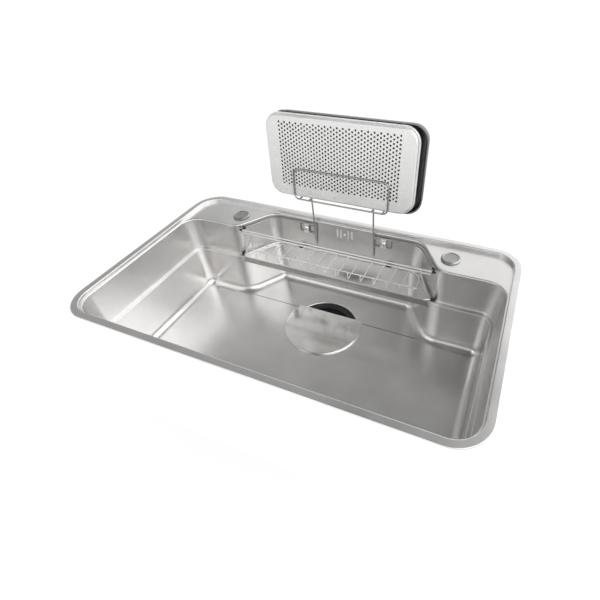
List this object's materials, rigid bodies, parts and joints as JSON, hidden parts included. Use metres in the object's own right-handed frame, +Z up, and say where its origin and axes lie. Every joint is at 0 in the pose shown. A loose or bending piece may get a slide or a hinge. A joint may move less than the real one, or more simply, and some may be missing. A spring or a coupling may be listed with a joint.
{
  "type": "kitchen sink",
  "caption": "Rectangular inset kitchen sink in pressed stainless steel with a rear bay, ledge, lift-out wire rack, wire holder with perforated tray and pan, and wide covered drain",
  "frame": {"origin": "middle of the front stretch of the rim seal's underside, on the worktop's top face", "axes": "+X to the right along the sink's length, +Y to the back, +Z up out of the worktop"},
  "size_m": [0.85, 0.5252, 0.6152],
  "materials": {
    "steel_sheet": "satin pressed stainless steel",
    "steel_wire": "polished stainless wire",
    "polished_steel": "mirror-polished stainless steel",
    "tray_steel": "fine satin stainless steel",
    "zinc_steel": "zinc-plated steel",
    "black_plastic": "moulded polypropylene, fine matt",
    "grey_plastic": "moulded polypropylene",
    "black_rubber": "soft rubber",
    "seal_foam": "closed-cell sealing strip",
    "pad_rubber": "sound-deadening sheet"
  },
  "bodies": {
    "sink": {"sink_bowl": "steel_sheet", "rim_seal": "seal_foam", "clip_brackets": "zinc_steel", "sound_pads": "pad_rubber", "drain_gasket": "black_rubber", "drain_body": "black_plastic", "drain_under_gasket": "black_rubber", "drain_nut": "grey_plastic", "overflow_gasket": "black_rubber", "overflow_box": "grey_plastic", "overflow_screw": "polished_steel", "tap_hole_caps": "polished_steel", "cap_seals": "black_rubber", "cap_washers": "grey_plastic", "cap_nuts": "zinc_steel", "tray_holder": "steel_wire", "holder_tips": "black_rubber", "holder_clamps": "steel_sheet", "holder_bolts": "polished_steel", "holder_washers": "black_rubber", "holder_nuts": "zinc_steel"},
    "rack": {"rack_frame": "steel_wire", "rack_grid": "steel_wire", "rack_apron": "polished_steel", "rack_feet": "black_rubber", "rack_tips": "black_rubber"},
    "tray": {"perforated_tray": "tray_steel"},
    "pan": {"drip_pan": "tray_steel"},
    "cover": {"drain_cover": "polished_steel", "cover_feet": "black_rubber"},
    "strainer": {"strainer_basket": "black_plastic"},
    "clip_front_left": {"clip_front_left": "zinc_steel"},
    "clip_front_right": {"clip_front_right": "zinc_steel"},
    "clip_left": {"clip_left": "zinc_steel"},
    "clip_right": {"clip_right": "zinc_steel"},
    "clip_back_left": {"clip_back_left": "zinc_steel"},
    "clip_back_right": {"clip_back_right": "zinc_steel"}
  },
  "joints": [
    {"name": "rack_lift", "type": "slide", "parent": "sink", "child": "rack", "axis": [0, 0, 1], "range_m": [0, 0.12]},
    {"name": "tray_lift", "type": "slide", "parent": "sink", "child": "tray", "axis": [0, 0.1132, 0.9936], "range_m": [0, 0.12]},
    {"name": "pan_lift", "type": "slide", "parent": "sink", "child": "pan", "axis": [0, 0.1132, 0.9936], "range_m": [0, 0.12]},
    {"name": "cover_lift", "type": "slide", "parent": "sink", "child": "cover", "axis": [0, 0, 1], "range_m": [0, 0.15]},
    {"name": "strainer_lift", "type": "slide", "parent": "sink", "child": "strainer", "axis": [0, 0, 1], "range_m": [0, 0.09]},
    {"name": "clip_front_left_swing", "type": "hinge", "parent": "sink", "child": "clip_front_left", "pos_m": [-0.2, 0.0086, -0.0162], "axis": [0, 0, -1], "range_deg": [0, 90]},
    {"name": "clip_front_right_swing", "type": "hinge", "parent": "sink", "child": "clip_front_right", "pos_m": [0.2, 0.0086, -0.0162], "axis": [0, 0, -1], "range_deg": [0, 90]},
    {"name": "clip_left_swing", "type": "hinge", "parent": "sink", "child": "clip_left", "pos_m": [-0.4104, 0.185, -0.0162], "axis": [0, 0, -1], "range_deg": [0, 90]},
    {"name": "clip_right_swing", "type": "hinge", "parent": "sink", "child": "clip_right", "pos_m": [0.4104, 0.185, -0.0162], "axis": [0, 0, -1], "range_deg": [0, 90]},
    {"name": "clip_back_left_swing", "type": "hinge", "parent": "sink", "child": "clip_back_left", "pos_m": [-0.15, 0.4814, -0.0162], "axis": [0, 0, -1], "range_deg": [0, 90]},
    {"name": "clip_back_right_swing", "type": "hinge", "parent": "sink", "child": "clip_back_right", "pos_m": [0.15, 0.4814, -0.0162], "axis": [0, 0, -1], "range_deg": [0, 90]}
  ],
  "couplings": [
    {"joint": "strainer_lift", "follows": "cover_lift", "ratio": 0.6}
  ]
}
